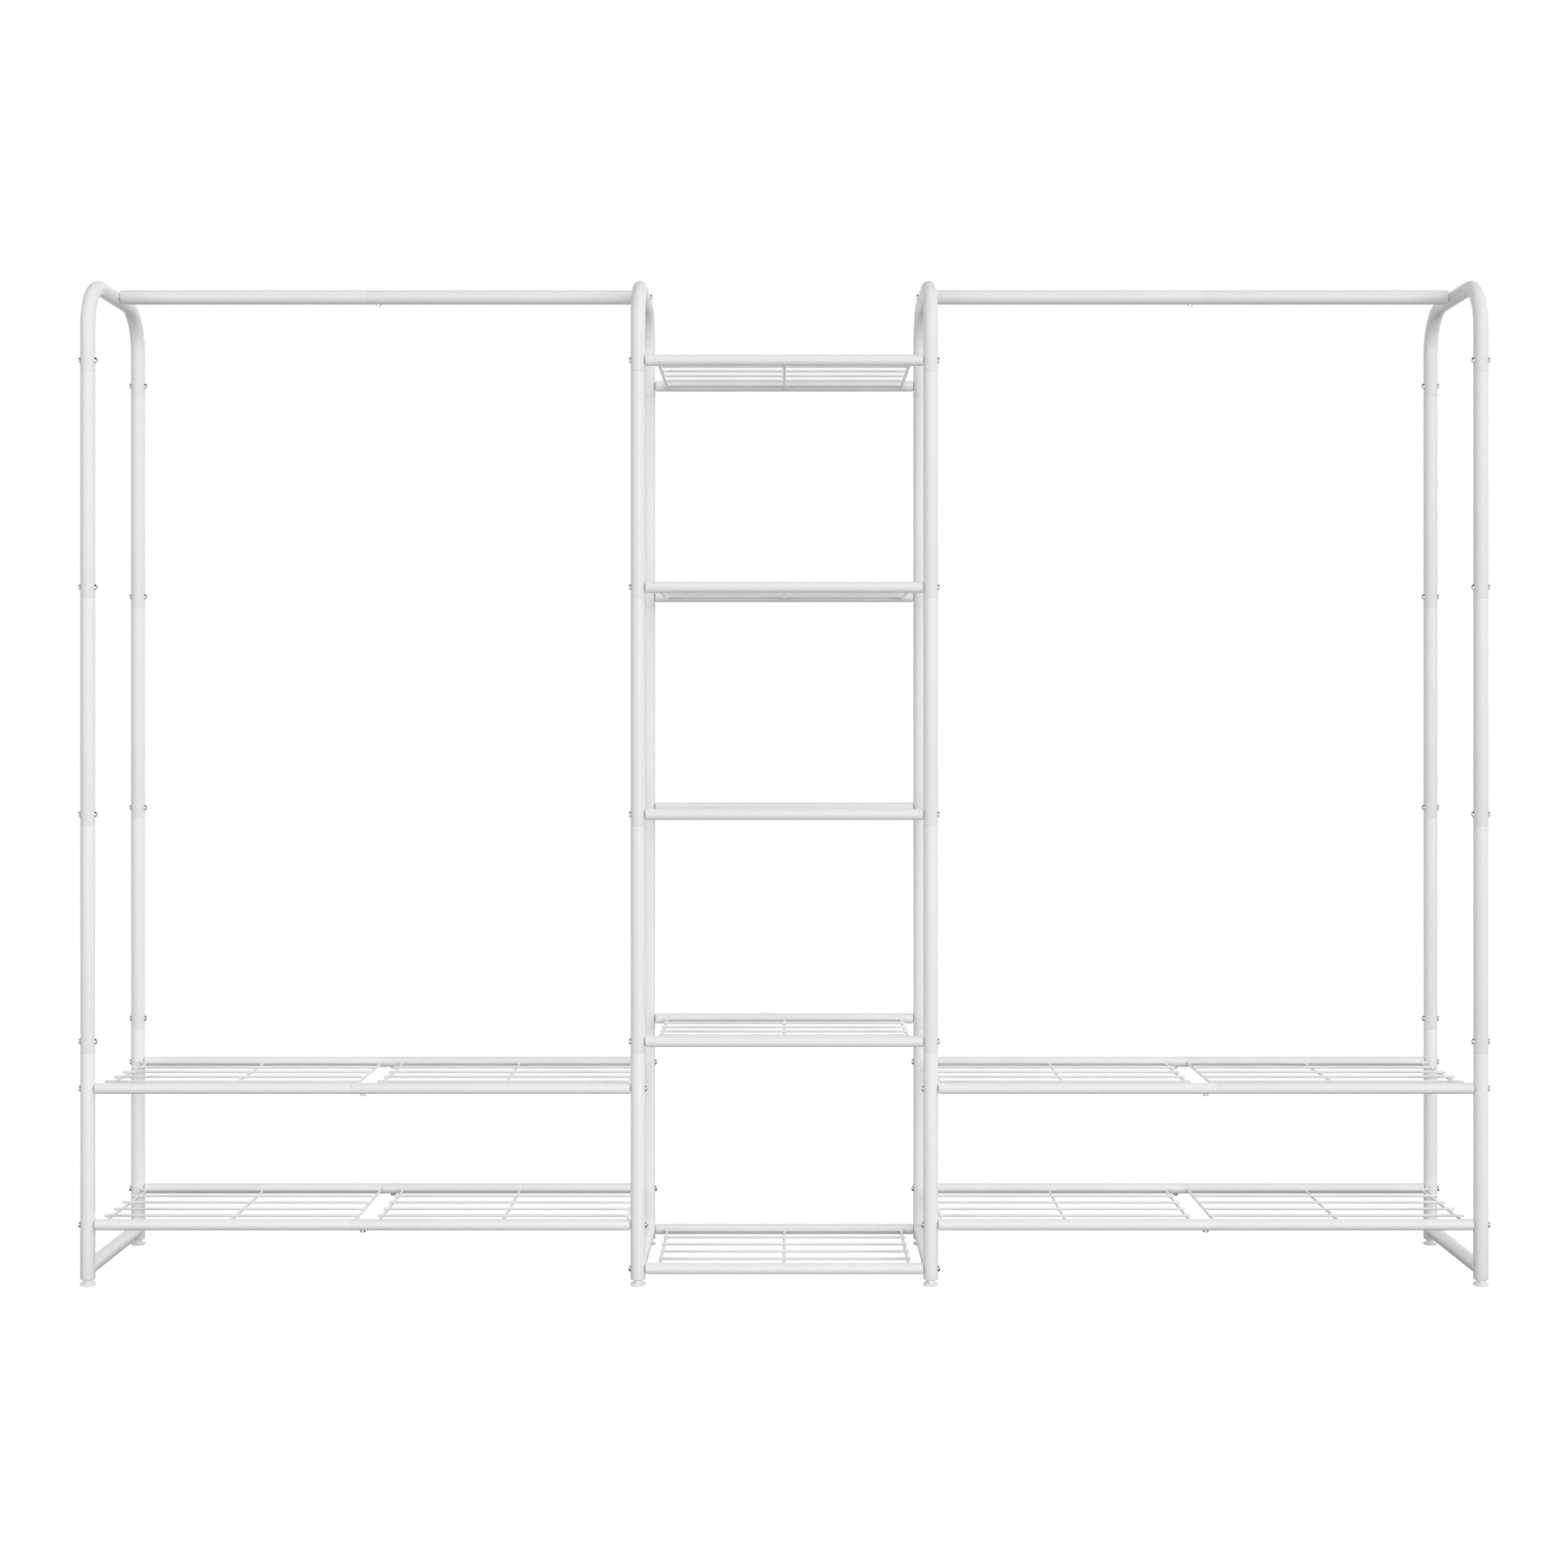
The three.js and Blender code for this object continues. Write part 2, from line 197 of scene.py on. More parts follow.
def skinned(name, rings, turn):
    """The mesh over rings of points, each joined to the next and the last to the first."""
    skin = bmesh.new()
    rings = [[skin.verts.new(point) for point in ring] for ring in rings]
    for ring, following in zip(rings, rings[1:] + rings[:1]):
        sides = max(len(ring), len(following))
        for i in range(sides):
            i_next = (i + 1) % sides
            if len(ring) > 1 and len(following) > 1:
                skin.faces.new((ring[i], ring[i_next], following[i_next], following[i]))
            elif len(ring) > 1:
                skin.faces.new((ring[i], ring[i_next], following[0]))
            elif len(following) > 1:
                skin.faces.new((ring[0], following[i_next], following[i]))
    bmesh.ops.transform(skin, matrix=turn, verts=skin.verts)
    bmesh.ops.recalc_face_normals(skin, faces=skin.faces)
    return mesh_of(skin, name)


def turned(profile, sides=tube_sides, turn=Matrix(), path=None):
    """The mesh of a profile of (radius, distance) turned about Z, or about a path of places."""
    rings = []
    for radius, distance in profile:
        at = path(distance) if path else Matrix.Translation((0, 0, distance * MM))
        size = radius * MM
        corners = [2 * math.pi * i / sides for i in range(sides if radius else 1)]
        rings.append([at @ Vector((size * math.cos(a), size * math.sin(a), 0)) for a in corners])
    return skinned("turned", rings, turn)


def bead(points, radius, sides=8, ripples=0, turn=Matrix()):
    """The mesh of a closed weld bead along a ring of points, with a ripple for each puddle."""
    centre = sum(points, Vector()) / len(points)
    corners = [2 * math.pi * k / sides for k in range(sides)]
    rings = []
    for i, point in enumerate(points):
        along = (points[(i + 1) % len(points)] - points[i - 1]).normalized()
        outwards = (point - centre).normalized()
        across = along.cross(outwards).normalized()
        outwards = across.cross(along)
        swell = 1 + weld_ripple_share * math.cos(2 * math.pi * ripples * i / len(points))
        rings.append(
            [
                (point + radius * swell * (outwards * math.cos(a) + across * math.sin(a))) * MM
                for a in corners
            ]
        )
    return skinned("bead", rings, turn)


def grouped(*placed):
    """One mesh of several that don't touch, each given with its place."""
    skin = bmesh.new()
    for mesh, spot in placed:
        copy = mesh.copy()
        copy.transform(Matrix.Translation(Vector(spot) * MM))
        skin.from_mesh(copy)
        bpy.data.meshes.remove(copy)
    return mesh_of(skin, "group")


def worked(name, body, *steps):
    """A body's mesh after each step in turn joins, cuts or trims it with another mesh."""
    target = bpy.data.objects.new(name, body)
    bpy.context.scene.collection.objects.link(target)
    tools = []
    for operation, mesh in steps:
        tool = bpy.data.objects.new("tool", mesh)
        bpy.context.scene.collection.objects.link(tool)
        modifier = target.modifiers.new(operation, "BOOLEAN")
        modifier.operation = operation
        modifier.solver = "MANIFOLD"
        modifier.object = tool
        tools.append(tool)
    shaped = target.evaluated_get(bpy.context.evaluated_depsgraph_get())
    made = bpy.data.meshes.new_from_object(shaped)
    made.name = name
    made.materials.clear()
    for used in (target, *tools):
        bpy.data.objects.remove(used)
    return made


smooth_below = 38  # degrees between two faces


def add_piece(name, mesh, material, body="frame", place=(0, 0, 0), turn=(0, 0, 0)):
    """A piece of the wardrobe, finished in its material, on the body that carries it."""
    if not mesh.materials:
        mesh.materials.append(material)
        mesh.shade_smooth()
        mesh.set_sharp_from_angle(angle=math.radians(smooth_below))
    piece = bpy.data.objects.new(name, mesh)
    piece.location = Vector(place) * MM
    piece.rotation_euler = [math.radians(angle) for angle in turn]
    bpy.context.scene.collection.objects.link(piece)
    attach(piece, body)
    return piece


def spigot(radius, wall, shoulder):
    """The profile of a drawn-in end, from its rounded shoulder to where the bore is full again."""
    outside = radius - wall - spigot_clearance
    inside = outside - wall
    tip = shoulder + spigot_length
    return [
        *arc(radius - shoulder_rim, shoulder - shoulder_rim, shoulder_rim, 0, quarter),
        (outside, shoulder),
        (outside, tip - cut_rim),
        (outside - cut_rim, tip),
        (inside, tip),
        (inside, shoulder - wall),
        (radius - wall, shoulder - wall - swage_length),
    ]


def drill(radius, start, end, turn=Matrix(), sides=24):
    """A round solid to cut a hole with."""
    return turned([(0, start), (radius, start), (radius, end), (0, end)], sides, turn)


reach = tube_radius + 1
bolt_hole = drill(bolt_hole_radius, -reach, reach, towards_x)

leg_lip = tube_radius - leg_rim
leg_profile = [
    *arc(leg_lip, leg_bottom + leg_rim, leg_rim, -quarter, 0),
    *spigot(tube_radius, tube_wall, joint_heights[0] - seam_drop),
    *arc(leg_lip, leg_bottom + leg_rim, leg_rim - tube_wall, 0, -quarter),
]
leg = turned(leg_profile)
crossbar = turned(
    [
        (tube_radius - tube_wall, -depth_half),
        (tube_radius, -depth_half),
        (tube_radius, depth_half),
        (tube_radius - tube_wall, depth_half),
    ],
    turn=towards_y,
)
cope = drill(tube_radius - tube_wall / 2, -2 * tube_radius, 2 * tube_radius, sides=tube_sides)
vent = drill(vent_radius, -reach, 0)


def saddle_ring(side, radius, upright_radius, off_centre=0, steps=180):
    """The ring of points where a round bar along Y meets an upright one."""
    ring = []
    for i in range(steps):
        angle = 2 * math.pi * i / steps
        x = off_centre + radius * math.cos(angle)
        y = depth_half - math.sqrt(upright_radius**2 - x**2)
        ring.append(Vector((x, side * y, radius * math.sin(angle))))
    return ring


base_welds = [
    bead(
        saddle_ring(side, tube_radius + weld_stand_off / 2, tube_radius + 2 * weld_stand_off),
        weld_radius,
        ripples=weld_ripples,
    )
    for side in (-1, 1)
]
base_bar_height = lowest_shelf
copes = grouped(*((cope, (0, y, base_bar_height)) for y in leg_places.values()))
plain_base = worked(
    "base",
    grouped((leg, (0, -depth_half, 0)), (leg, (0, depth_half, 0))),
    (
        "UNION",
        worked(
            "coped_crossbar",
            grouped((crossbar, (0, 0, base_bar_height))),
            ("DIFFERENCE", copes),
            ("DIFFERENCE", grouped((vent, (0, 0, base_bar_height)))),
        ),
    ),
    ("UNION", grouped(*((weld, (0, 0, base_bar_height)) for weld in base_welds))),
)
for name, x in frame_places.items():
    heights = [joint_heights[0], *long_shelf_heights.values()]
    if "tower" in name:
        heights.append(lowest_shelf)
    holes = grouped(*((bolt_hole, (0, y, z)) for y in leg_places.values() for z in heights))
    base_mesh = worked(f"{name}_base", plain_base, ("DIFFERENCE", holes))
    base = add_piece(f"{name}_welded_base", base_mesh, powder_coat, place=(x, 0, 0))
    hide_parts(f"{name}_base")


# Leg plugs and levelling feet
# A ribbed plastic plug pressed into each leg's end takes the threaded stem of a levelling foot.
# The foot is moulded in plastic too: a pad, a neck that goes up into a recess of the plug, and a
# stem as thick as an M8 bolt, which screws in and out to level the frame.
leg_plug_depth = 10
leg_plug_set_in = 0.3
leg_plug_edge = 0.35
leg_plug_clearance = 0.15
leg_plug_ribs = 3
first_rib = 1.5
rib_pitch = 2
rib_slope = 0.35
rib_height = 1.6
rib_root = 0.8
press_gap = 0.05
stem_bore_radius = 4.3
pad_radius = 13.25
pad_rim = 4.5
pad_edge = 2.2
pad_sides = 64
sole_hollow = 0.4
sole_hollow_radius = 10.2
sole_ring_radius = 10.7
neck_radius = 6.8
neck_top = 10.3
neck_edge = 0.6
neck_flare = 2
neck_step = 0.1
neck_recess = 3.6
neck_clearance = 0.5
stem_radius = 4
stem_root = 0.5
stem_thread_top = 20.5
stem_top = 21.2
stem_point_radius = 3
stem_pitch = 1.25
thread_depth_share = 0.61
small_sides = 32

# Moulded polypropylene, a shade warmer than the paint: a soft sheen, broken by the fine grain of
# the mould, which is drawn coarser than it is so that it shows close up.
plastic_white = "#F3F2F0"
plastic_roughness = 0.42
plastic_ior = 1.49
mould_grain = 0.4
mould_depth = 0.01

foot_plastic, tree = new_material("moulded_polypropylene")
place = add_node(tree, "ShaderNodeTexCoord").outputs["Object"]
grain = add_node(
    tree, "ShaderNodeTexNoise", {"Vector": place, "Scale": 1 / (mould_grain * MM), "Detail": 3}
).outputs["Fac"]
relief = add_node(
    tree, "ShaderNodeBump", {"Distance": mould_depth * MM, "Height": grain}
).outputs["Normal"]
plastic = add_node(
    tree,
    "ShaderNodeBsdfPrincipled",
    {
        "Base Color": linear(plastic_white),
        "Roughness": plastic_roughness,
        "IOR": plastic_ior,
        "Normal": relief,
    },
)
add_node(tree, "ShaderNodeOutputMaterial", {"Surface": plastic.outputs["BSDF"]})


def thread(radius, start, end, pitch):
    """The profile of a screw thread, drawn as one ring for each turn."""
    root = radius - thread_depth_share * pitch
    turns = math.floor((end - start) / pitch)
    points = []
    for i in range(turns):
        at = start + i * pitch
        points += [(root, at), (radius, at + pitch / 2)]
    return [*points, (root, start + turns * pitch)]


ribs = []
for i in range(leg_plug_ribs):
    at = leg_bottom + leg_rim + first_rib + rib_pitch * i
    ribs += [
        (leg_lip + rib_root, at),
        (tube_radius - tube_wall - press_gap, at + rib_slope),
        (leg_lip + rib_root, at + rib_height),
    ]
plug_face = leg_bottom + leg_plug_set_in
plug_nose = leg_lip - leg_plug_clearance
plug_top = leg_bottom + leg_plug_depth
leg_plug_mesh = turned(
    [
        (stem_bore_radius, leg_bottom + neck_recess),
        (neck_radius + neck_clearance, leg_bottom + neck_recess),
        (neck_radius + neck_clearance, plug_face),
        (plug_nose - leg_plug_edge, plug_face),
        (plug_nose, plug_face + leg_plug_edge),
        (plug_nose, leg_bottom + leg_rim),
        *ribs,
        (leg_lip, plug_top),
        (stem_bore_radius, plug_top),
    ]
)
flare_centre = (neck_radius + neck_flare, pad_rim + neck_flare + neck_step)
pad_mesh = turned(
    [
        (0, sole_hollow),
        (sole_hollow_radius, sole_hollow),
        (sole_ring_radius, 0),
        *arc(pad_radius - pad_edge, pad_edge, pad_edge, -quarter, 0, steps=6),
        *arc(pad_radius - pad_edge, pad_rim - pad_edge, pad_edge, 0, quarter, steps=6),
        *arc(*flare_centre, neck_flare, -quarter, -2 * quarter, steps=6),
        *arc(neck_radius - neck_edge, neck_top - neck_edge, neck_edge, 0, quarter),
        (0, neck_top),
    ],
    sides=pad_sides,
)
stem_bottom = neck_top - stem_root
stem_mesh = turned(
    [
        (0, stem_bottom),
        *thread(stem_radius, stem_bottom, stem_thread_top, stem_pitch),
        (stem_point_radius, stem_top),
        (0, stem_top),
    ],
    sides=small_sides,
)
for name, x in frame_places.items():
    for leg_name, y in leg_places.items():
        foot_name = f"{name}_{leg_name}"
        at = (x, y, 0)
        add_piece(f"{foot_name}_leg_plug", leg_plug_mesh, foot_plastic, place=at)
        screwed = f"{foot_name}_leveller"
        pad = add_piece(f"{foot_name}_pad", pad_mesh, foot_plastic, screwed, at)
        add_piece(f"{foot_name}_stem", stem_mesh, foot_plastic, screwed, at)
        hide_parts(f"{foot_name}_foot")


# Uprights
# Three straight tubes of steel stand on each leg, each with an open socket below and a drawn-in
# spigot above. A seam shows just under the bolts where the socket meets the shoulder.
tube_names = ["lower", "middle", "upper"]
seam_gap = 0.12


def socket_rim(radius, wall, end):
    """The profile of a plain cut end below a socket, with both edges eased."""
    return [
        (radius - wall, end + cut_rim),
        (radius - wall + cut_rim, end),
        *arc(radius - cut_rim, end + cut_rim, cut_rim, -quarter, 0, steps=3),
    ]


tube_bottom = seam_gap - seam_drop
upright_mesh = worked(
    "upright_tube",
    turned(
        [
            *socket_rim(tube_radius, tube_wall, tube_bottom),
            *spigot(tube_radius, tube_wall, shelf_pitch - seam_drop),
        ]
    ),
    ("DIFFERENCE", grouped((bolt_hole, (0, 0, 0)), (bolt_hole, (0, 0, shelf_pitch)))),
)
for name, x in frame_places.items():
    for leg_name, y in leg_places.items():
        for tube_name, z in zip(tube_names, joint_heights):
            upright_name = f"{name}_{leg_name}_{tube_name}"
            upright = add_piece(
                f"{upright_name}_upright", upright_mesh, powder_coat, place=(x, y, z)
            )
            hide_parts(f"{upright_name}_tube")


# Hoops
# One steel tube, bent twice, closes each side frame at the top: two short legs with sockets, two
# bends and the level crossbar that the rod is bolted to.
crossbar_rise = 135
crossbar_height = tower_shelf_heights[-1] + crossbar_rise
bend_radius = 77
bend_steps = 20
hoop_bottom = joint_heights[-1] + tube_bottom
leg_run = crossbar_height - bend_radius - hoop_bottom
bend_run = quarter * bend_radius
bar_run = 2 * (depth_half - bend_radius)
hoop_length = 2 * (leg_run + bend_run) + bar_run


def hoop_path(distance):
    """The place on the hoop's axis at a distance from its front end, facing along the tube."""
    mirrored = distance > hoop_length / 2
    along = hoop_length - distance if mirrored else distance
    angle = min(max((along - leg_run) / bend_radius, 0), quarter)
    y = -depth_half + bend_radius * (1 - math.cos(angle)) + max(along - leg_run - bend_run, 0)
    z = hoop_bottom + min(along, leg_run) + bend_radius * math.sin(angle)
    if mirrored:
        y, angle = -y, math.pi - angle
    return Matrix.Translation(Vector((0, y, z)) * MM) @ Matrix.Rotation(-angle, 4, "X")


def far_end(profile, length):
    """The same end at the other side of a tube of this length."""
    return [(radius, length - distance) for radius, distance in reversed(profile)]


bends = [leg_run + bend_run * i / bend_steps for i in range(bend_steps + 1)]
stations = [*bends, *(hoop_length - distance for distance in reversed(bends))]
front_rim = socket_rim(tube_radius, tube_wall, 0)
hoop_tube = turned(
    [
        *front_rim,
        *((tube_radius, distance) for distance in stations),
        *far_end(front_rim, hoop_length),
        *((tube_radius - tube_wall, distance) for distance in reversed(stations)),
    ],
    path=hoop_path,
)
hoop_mesh = worked(
    "hoop",
    hoop_tube,
    (
        "DIFFERENCE",
        grouped(
            (bolt_hole, (0, -depth_half, joint_heights[-1])),
            (bolt_hole, (0, depth_half, joint_heights[-1])),
            (bolt_hole, (0, 0, crossbar_height)),
        ),
    ),
)
for name, x in frame_places.items():
    hoop = add_piece(f"{name}_bent_hoop", hoop_mesh, powder_coat, place=(x, 0, 0))
    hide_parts(f"{name}_hoop")


# Shelves
# Steel wires are spot-welded where they cross, and the cross wires' ends are welded to a tube bar
# in front and one behind. A tower shelf is one such panel; a long shelf is two that plug together.
bar_radius = 9.5
bar_wall = 0.9
rail_rim = 2
rail_gap = 0.3
rail_start = tube_radius + rail_gap
wire_radius = 2.5
wire_sides = 16
wire_rim = 0.5
wire_rise = 0.5
cross_drop = 3.5
cross_wires = 3
cross_wire_spacing = 214
long_wire_shares = [0.046, 0.228, 0.41, 0.59, 0.772, 0.954]
cross_weld_radius = 0.9
nugget_radius = 2.95
nugget_height = 1.3
nugget_steps = 6
trim_overrun = 50
tower_overrun = 4
inner_overhang = 5
outer_overhang = 9
outer_inset = 17
inner_inset = 21.5


def rail_end(radius, wall):
    """The profile of an end that butts against an upright: its rim is rolled in round the plug."""
    lip = radius - rail_rim
    return [
        *arc(lip, rail_rim, rail_rim - wall, 0, -quarter, steps=3),
        *arc(lip, rail_rim, rail_rim, -quarter, 0, steps=5),
    ]


def rail(radius, wall, length, kind):
    """A rail from its end at an upright to its far end, a second such end, a spigot or a socket."""
    near = rail_end(radius, wall)
    far = {
        "butt": far_end(near, length),
        "spigot": spigot(radius, wall, length),
        "socket": far_end(socket_rim(radius, wall, 0), length),
    }[kind]
    body = turned([*near, *far], turn=towards_x)
    at = {"spigot": length + seam_drop, "socket": length + seam_gap - seam_drop}.get(kind)
    if at is None:
        return body
    screw_hole = drill(bolt_hole_radius, -radius - 1, 0)
    return worked("rail", body, ("DIFFERENCE", grouped((screw_hole, (at, 0, 0)))))


def wire(start, end, turn):
    """A straight wire with its cut ends eased."""
    first = arc(wire_radius - wire_rim, start + wire_rim, wire_rim, -quarter, 0, steps=2)
    last = arc(wire_radius - wire_rim, end - wire_rim, wire_rim, 0, quarter, steps=2)
    return turned([(0, start), *first, *last, (0, end)], wire_sides, turn)


nugget_round = [math.pi * i / nugget_steps for i in range(1, nugget_steps)]
nugget = turned(
    [
        (0, -nugget_height),
        *((nugget_radius * math.sin(a), -nugget_height * math.cos(a)) for a in nugget_round),
        (0, nugget_height),
    ],
    sides=2 * nugget_steps,
)


def panel(name, bar, bar_start, cross_places, long_start, long_end):
    """A shelf panel of two bars with its wires, in the middle of the depth."""
    long_places = [(share - 0.5) * 2 * depth_half for share in long_wire_shares]
    cross_wire = wire(-depth_half + bar_radius / 2, depth_half - bar_radius / 2, towards_y)
    trim = drill(
        bar_radius - bar_wall / 2,
        cross_places[0] - trim_overrun,
        cross_places[-1] + trim_overrun,
        towards_x,
        tube_sides,
    )
    crossed = worked(
        "cross_wires",
        grouped(*((cross_wire, (x, 0, -cross_drop)) for x in cross_places)),
        ("DIFFERENCE", grouped((trim, (0, -depth_half, 0)), (trim, (0, depth_half, 0)))),
    )
    long_wire = wire(long_start, long_end, towards_x)
    crossing = (wire_rise - cross_drop) / 2
    welds = []
    for side in (-1, 1):
        ring = saddle_ring(
            side,
            wire_radius + weld_stand_off,
            bar_radius + weld_stand_off / 2,
            cross_drop,
            steps=24,
        )
        weld = bead(ring, cross_weld_radius, sides=6, turn=towards_x)
        welds += [(weld, (x, 0, 0)) for x in cross_places]
    return worked(
        name,
        grouped((bar, (bar_start, -depth_half, 0)), (bar, (bar_start, depth_half, 0))),
        ("UNION", crossed),
        ("UNION", grouped(*((long_wire, (0, y, wire_rise)) for y in long_places))),
        (
            "UNION",
            grouped(*((nugget, (x, y, crossing)) for x in cross_places for y in long_places)),
        ),
        ("UNION", grouped(*welds)),
    )


tower_cross_places = [-cross_wire_spacing, 0, cross_wire_spacing]
tower_panel = panel(
    "tower_shelf",
    rail(bar_radius, bar_wall, 2 * (tower_x - rail_start), "butt"),
    rail_start - tower_x,
    tower_cross_places,
    tower_cross_places[0] - tower_overrun,
    tower_cross_places[-1] + tower_overrun,
)
for i, z in enumerate(tower_shelf_heights, start=1):
    shelf = add_piece(
        f"tower_shelf_{i}_panel", tower_panel, powder_coat, place=(0, 0, z)
    )
    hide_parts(f"tower_shelf_{i}")

# Each half of a long shelf in its own X, from the frame that it is bolted to as far as mid-bay:
# the outer one ends in a spigot, the inner one in the socket over it.
bay_width = outer_x - tower_x
outer_length = bay_width / 2 - seam_drop - rail_start
inner_length = bay_width / 2 + seam_drop - rail_start - seam_gap
outer_places = [outer_inset - rail_start + i * cross_wire_spacing for i in range(cross_wires)]
inner_places = [inner_inset - rail_start + i * cross_wire_spacing for i in range(cross_wires)]
long_panels = {
    "outer": panel(
        "outer_long_shelf",
        rail(bar_radius, bar_wall, outer_length, "spigot"),
        0,
        outer_places,
        outer_places[0] - outer_overhang,
        outer_places[-1] + wire_radius,
    ),
    "inner": panel(
        "inner_long_shelf",
        rail(bar_radius, bar_wall, inner_length, "socket"),
        0,
        inner_places,
        inner_places[0] - wire_radius,
        inner_places[-1] + inner_overhang,
    ),
}
# Where each half starts, and a half turn for those that run to the left
bay_ends = {
    ("left", "outer"): (rail_start - outer_x, 0),
    ("left", "inner"): (-tower_x - rail_start, 180),
    ("right", "inner"): (tower_x + rail_start, 0),
    ("right", "outer"): (outer_x - rail_start, 180),
}
for (side, half), (x, turn) in bay_ends.items():
    for level, z in long_shelf_heights.items():
        shelf_name = f"{side}_{level}_shelf_{half}"
        shelf = add_piece(
            f"{shelf_name}_panel",
            long_panels[half],
            powder_coat,
            place=(x, 0, z),
            turn=(0, 0, turn),
        )
        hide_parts(f"{shelf_name}_half")


# Rods
# A hanging rod spans each bay between the hoops' crossbars. It is two steel tubes that plug
# together in mid-bay, with ends rolled in round a plug like those of the shelves' bars.
rods = {
    "outer": rail(tube_radius, tube_wall, outer_length, "spigot"),
    "inner": rail(tube_radius, tube_wall, inner_length, "socket"),
}
for (side, half), (x, turn) in bay_ends.items():
    rod = add_piece(
        f"{side}_rod_{half}_tube",
        rods[half],
        powder_coat,
        place=(x, 0, crossbar_height),
        turn=(0, 0, turn),
    )
    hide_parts(f"{side}_rod_{half}_half")


# End plugs
# A turned steel plug is pressed into each end of a bar or rod that butts against a frame, and a
# bolt through the frame screws into it. Only its face shows, in the gap round the joint.
plug_length = 12
plug_recess = 0.2
plug_edge = 0.2
plug_step = 0.6
plug_bore = 3.05
bore_edge = 0.5
nose_clearance = 0.1

# Bright zinc plate on turned and rolled steel: a pale bluish mirror, slightly cloudy, with the
# fine marks of the tool in it, which are drawn coarser than they are so that they show close up.
zinc_colour = "#D2D3D4"
zinc_roughness = (0.12, 0.22)
tool_mark = 0.25  # about the width of a ridge, or of a groove
tool_mark_depth = 0.004
cloud_width = 3

zinc, tree = new_material("bright_zinc_plate")
place = add_node(tree, "ShaderNodeTexCoord").outputs["Object"]
cloud = add_node(
    tree, "ShaderNodeTexNoise", {"Vector": place, "Scale": 1 / (cloud_width * MM), "Detail": 3}
).outputs["Fac"]
gloss = add_node(
    tree,
    "ShaderNodeMapRange",
    {"Value": cloud, "To Min": zinc_roughness[0], "To Max": zinc_roughness[1]},
)
marks = add_node(
    tree,
    "ShaderNodeTexWave",
    {"Vector": place, "Scale": 1 / (tool_mark * MM * 2 * math.pi), "Distortion": 1},
    wave_type="RINGS",
    rings_direction="Z",
)
relief = add_node(
    tree, "ShaderNodeBump", {"Distance": tool_mark_depth * MM, "Height": marks.outputs["Fac"]}
).outputs["Normal"]
plate = add_node(
    tree,
    "ShaderNodeBsdfPrincipled",
    {
        "Base Color": linear(zinc_colour),
        "Metallic": 1,
        "Roughness": gloss.outputs["Result"],
        "Normal": relief,
    },
)
add_node(tree, "ShaderNodeOutputMaterial", {"Surface": plate.outputs["BSDF"]})


def end_plug(radius, wall):
    """A plug from its face inwards, stepped to pass the rolled rim."""
    nose = radius - rail_rim - nose_clearance
    full = radius - wall - press_gap
    return turned(
        [
            (plug_bore, plug_recess + bore_edge),
            (plug_bore + bore_edge, plug_recess),
            (nose - plug_edge, plug_recess),
            (nose, plug_recess + plug_edge),
            (nose, rail_rim),
            (full, rail_rim + plug_step),
            (full, plug_length),
            (plug_bore, plug_length),
        ],
        sides=small_sides,
        turn=towards_x,
    )


bar_plug = end_plug(bar_radius, bar_wall)
rod_plug = end_plug(tube_radius, tube_wall)
for i, z in enumerate(tower_shelf_heights, start=1):
    for side, x, turn in (("left", rail_start - tower_x, 0), ("right", tower_x - rail_start, 180)):
        for leg_name, y in leg_places.items():
            add_piece(
                f"tower_shelf_{i}_{leg_name}_{side}_plug",
                bar_plug,
                zinc,
                place=(x, y, z),
                turn=(0, 0, turn),
            )
for (side, half), (x, turn) in bay_ends.items():
    for level, z in long_shelf_heights.items():
        for leg_name, y in leg_places.items():
            add_piece(
                f"{side}_{level}_shelf_{leg_name}_{half}_plug",
                bar_plug,
                zinc,
                place=(x, y, z),
                turn=(0, 0, turn),
            )
    add_piece(
        f"{side}_rod_{half}_plug",
        rod_plug,
        zinc,
        place=(x, 0, crossbar_height),
        turn=(0, 0, turn),
    )


# Bolts, nuts and screws
# M6 button-head bolts of plated steel, with a hexagon socket, hold every joint. Those of the outer
# frames' uprights have a sleeve nut with the same low dome on the inside; the others screw into a
# plug. Short screws with a cheese head lock the halves of the rods and long shelves from below.
bolt_radius = 3
bolt_pitch = 1
head_radius = 5.25
head_height = 3.3
head_edge = 0.25
crown_radius = 2.9
dome_radius = 6.2
dome_steps = 6
socket_sides = 6
socket_flats = 4
socket_depth = 1.9
socket_point_share = 1.4
thread_length = 12
sleeve_radius = 4
bolt_reach = 10
screw_reach = 8
bolt_turn = 8
screw_turn = 24
cheese_radius = 4.6
cheese_height = 3.1
cheese_edge = 0.7
slot_width = 1.4
slot_depth = 1.3


def screwed_in(head, seat, tip):
    """A bolt along X: the profile of its head outside the seat at -X, its thread up to the tip."""
    start = max(tip - thread_length - seat, bolt_pitch)
    profile = [
        *head,
        (bolt_radius, 0),
        (bolt_radius, start - bolt_pitch / 2),
        *thread(bolt_radius, start, tip - seat - bolt_pitch, bolt_pitch),
        (bolt_radius - bolt_pitch, tip - seat),
        (0, tip - seat),
    ]
    return turned([(radius, along + seat) for radius, along in profile], small_sides, towards_x)


dome_centre = head_height - math.sqrt(dome_radius**2 - crown_radius**2)
dome_edges = [
    crown_radius + (head_radius - crown_radius) * i / dome_steps for i in range(dome_steps + 1)
]
button_head = [
    (0, -head_height),
    *((r, -dome_centre - math.sqrt(dome_radius**2 - r**2)) for r in dome_edges),
    (head_radius, -head_edge),
    (head_radius - head_edge, 0),
]
socket_corner = socket_flats / math.sqrt(3)
hexagon_socket = [
    (0, -head_height - 1),
    (socket_corner, -head_height - 1),
    (socket_corner, socket_depth - head_height),
    (0, socket_point_share * socket_depth - head_height),
]


